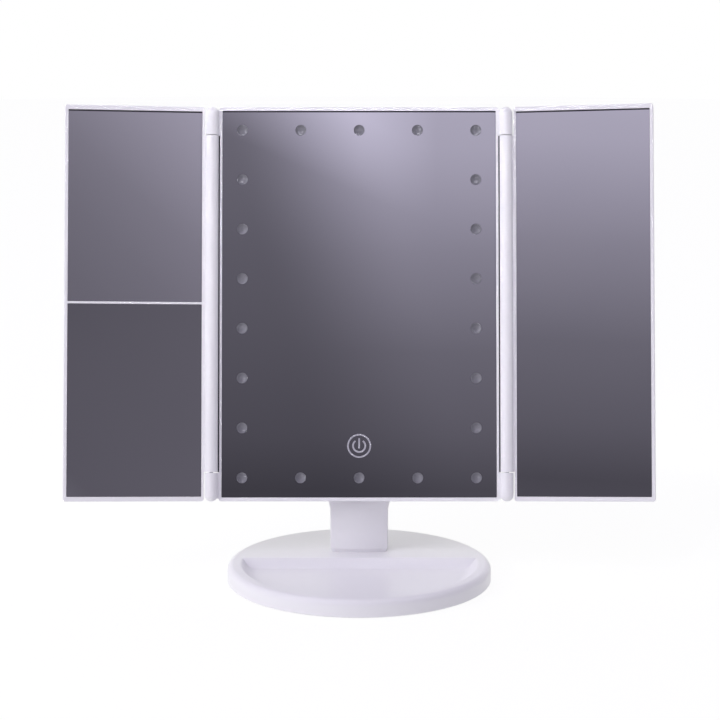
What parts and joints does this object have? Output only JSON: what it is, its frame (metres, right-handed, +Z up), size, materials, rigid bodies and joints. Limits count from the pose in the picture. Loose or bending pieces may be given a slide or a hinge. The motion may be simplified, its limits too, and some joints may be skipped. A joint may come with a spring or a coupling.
{
  "type": "trifold vanity mirror",
  "caption": "White trifold vanity mirror with a ring of unlit lights, a touch power mark, magnifying mirrors in the left wing and a round tray stand.",
  "frame": {"origin": "the middle of the round base's underside, on the table", "axes": "+Z up from the table, +X to the right as seen by the user and -Y towards the user"},
  "size_m": [0.343, 0.153, 0.2727],
  "materials": {
    "white_gloss": "smooth satin-gloss white moulding",
    "white_inner": "matt off-white moulding",
    "silvered_glass": "polished silvered glass",
    "frosted_lens": "frosted grey diffuser, unlit",
    "green_board": "green lacquered circuit board",
    "light_chip": "phosphor-coated light chip",
    "bright_steel": "zinc-plated steel",
    "weight_steel": "plain steel plate, clear lacquer",
    "foam_rubber": "matt dense foam rubber",
    "bearing_plastic": "natural acetal",
    "cell_jacket": "plain coloured metal jacket"
  },
  "bodies": {
    "base": {"base_shell": "white_gloss", "base_bottom_cover": "white_inner", "base_weight": "weight_steel", "non_slip_pad": "foam_rubber", "base_screws": "bright_steel", "neck": "white_gloss", "neck_screws": "bright_steel", "tilt_bushes": "bearing_plastic", "friction_washers": "bright_steel"},
    "centre_panel": {"centre_frame": "white_gloss", "centre_back_shell": "white_gloss", "centre_mirror": "silvered_glass", "light_lenses": "frosted_lens", "light_frame": "white_inner", "light_board": "green_board", "light_chips": "light_chip", "touch_sensor": "green_board", "control_board": "green_board", "usb_socket": "bright_steel", "battery_contacts": "bright_steel", "battery_cells": "cell_jacket", "back_screws": "bright_steel", "tilt_shaft": "bright_steel", "tilt_nut": "bright_steel", "wing_hinge_pins": "bright_steel"},
    "battery_cover": {"battery_cover": "white_gloss"},
    "left_wing": {"left_wing_frame": "white_gloss", "left_wing_back": "white_gloss", "upper_magnifying_mirror": "silvered_glass", "lower_magnifying_mirror": "silvered_glass"},
    "right_wing": {"right_wing_frame": "white_gloss", "right_wing_back": "white_gloss", "right_mirror": "silvered_glass"}
  },
  "joints": [
    {"name": "panel_tilt", "type": "hinge", "parent": "base", "child": "centre_panel", "pos_m": [0, 0.0275, 0.048], "axis": [-1, 0, 0], "range_deg": [-12, 16.5]},
    {"name": "left_wing_hinge", "type": "hinge", "parent": "centre_panel", "child": "left_wing", "pos_m": [-0.0859, 0.03242, 0.15758], "axis": [0, 0.2334, 0.9724], "range_deg": [-6.7, 173.3]},
    {"name": "right_wing_hinge", "type": "hinge", "parent": "centre_panel", "child": "right_wing", "pos_m": [0.0859, 0.03242, 0.15758], "axis": [0, -0.2334, -0.9724], "range_deg": [-9.6, 170.4]},
    {"name": "battery_cover_slide", "type": "slide", "parent": "centre_panel", "child": "battery_cover", "axis": [0, 0.2334, 0.9724], "range_m": [0, 0.058]}
  ]
}
